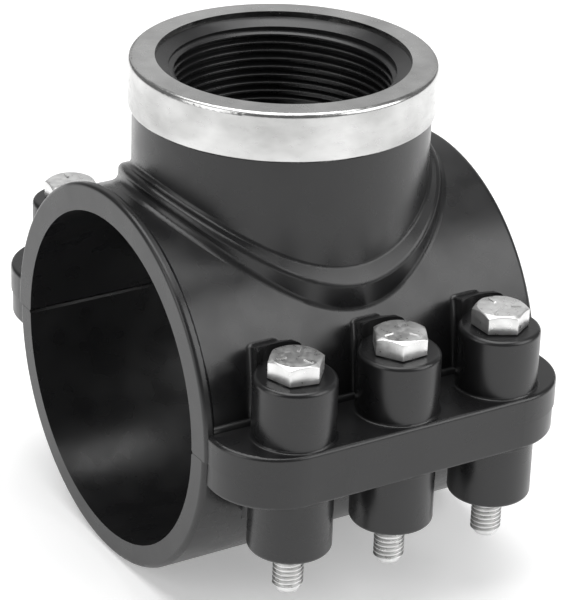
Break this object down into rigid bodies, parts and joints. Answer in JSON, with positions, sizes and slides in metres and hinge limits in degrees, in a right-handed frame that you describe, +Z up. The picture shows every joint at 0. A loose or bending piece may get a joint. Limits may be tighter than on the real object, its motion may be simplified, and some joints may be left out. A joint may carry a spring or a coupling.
{
  "type": "tapping saddle",
  "caption": "Bolted two-half clamp saddle for a plastic water pipe, with a steel-banded, internally threaded branch outlet on the upper half.",
  "frame": {"origin": "where the pipe's axis and the outlet's axis cross", "axes": "+X along the pipe, away from the rimmed end; +Z up the threaded outlet; +Y across the bolting flanges"},
  "size_m": [0.1018, 0.144, 0.1331],
  "materials": {
    "body_plastic": "satin moulded",
    "ring_steel": "satin",
    "seal_rubber": "matte",
    "bolt_zinc": "zinc plated",
    "nut_zinc": "zinc plated"
  },
  "bodies": {
    "upper": {"upper_saddle": "body_plastic", "reinforcing_ring": "ring_steel", "outlet_gasket": "seal_rubber"},
    "lower": {"lower_clamp": "body_plastic", "hex_nut_1": "nut_zinc", "hex_nut_2": "nut_zinc", "hex_nut_3": "nut_zinc", "hex_nut_4": "nut_zinc", "hex_nut_5": "nut_zinc", "hex_nut_6": "nut_zinc"},
    "bolt_1": {"clamp_bolt_1": "bolt_zinc"},
    "bolt_2": {"clamp_bolt_2": "bolt_zinc"},
    "bolt_3": {"clamp_bolt_3": "bolt_zinc"},
    "bolt_4": {"clamp_bolt_4": "bolt_zinc"},
    "bolt_5": {"clamp_bolt_5": "bolt_zinc"},
    "bolt_6": {"clamp_bolt_6": "bolt_zinc"}
  },
  "joints": [
    {"name": "clamp_opening", "type": "slide", "parent": "upper", "child": "lower", "axis": [0, 0, -1], "range_m": [0, 0.012]},
    {"name": "bolt_1_turn", "type": "hinge", "parent": "upper", "child": "bolt_1", "pos_m": [-0.0306, -0.06025, 0.02385], "axis": [0, 0, 1], "range_deg": [0, 3456.1]},
    {"name": "bolt_2_turn", "type": "hinge", "parent": "upper", "child": "bolt_2", "pos_m": [0, -0.06025, 0.02385], "axis": [0, 0, 1], "range_deg": [0, 3456.1]},
    {"name": "bolt_3_turn", "type": "hinge", "parent": "upper", "child": "bolt_3", "pos_m": [0.0306, -0.06025, 0.02385], "axis": [0, 0, 1], "range_deg": [0, 3456.1]},
    {"name": "bolt_4_turn", "type": "hinge", "parent": "upper", "child": "bolt_4", "pos_m": [-0.0306, 0.06025, 0.02385], "axis": [0, 0, 1], "range_deg": [0, 3456.1]},
    {"name": "bolt_5_turn", "type": "hinge", "parent": "upper", "child": "bolt_5", "pos_m": [0, 0.06025, 0.02385], "axis": [0, 0, 1], "range_deg": [0, 3456.1]},
    {"name": "bolt_6_turn", "type": "hinge", "parent": "upper", "child": "bolt_6", "pos_m": [0.0306, 0.06025, 0.02385], "axis": [0, 0, 1], "range_deg": [0, 3456.1]}
  ],
  "couplings": [
    {"joint": "bolt_1_turn", "follows": "clamp_opening", "rad_per_m": 5026.5},
    {"joint": "bolt_2_turn", "follows": "clamp_opening", "rad_per_m": 5026.5},
    {"joint": "bolt_3_turn", "follows": "clamp_opening", "rad_per_m": 5026.5},
    {"joint": "bolt_4_turn", "follows": "clamp_opening", "rad_per_m": 5026.5},
    {"joint": "bolt_5_turn", "follows": "clamp_opening", "rad_per_m": 5026.5},
    {"joint": "bolt_6_turn", "follows": "clamp_opening", "rad_per_m": 5026.5}
  ]
}
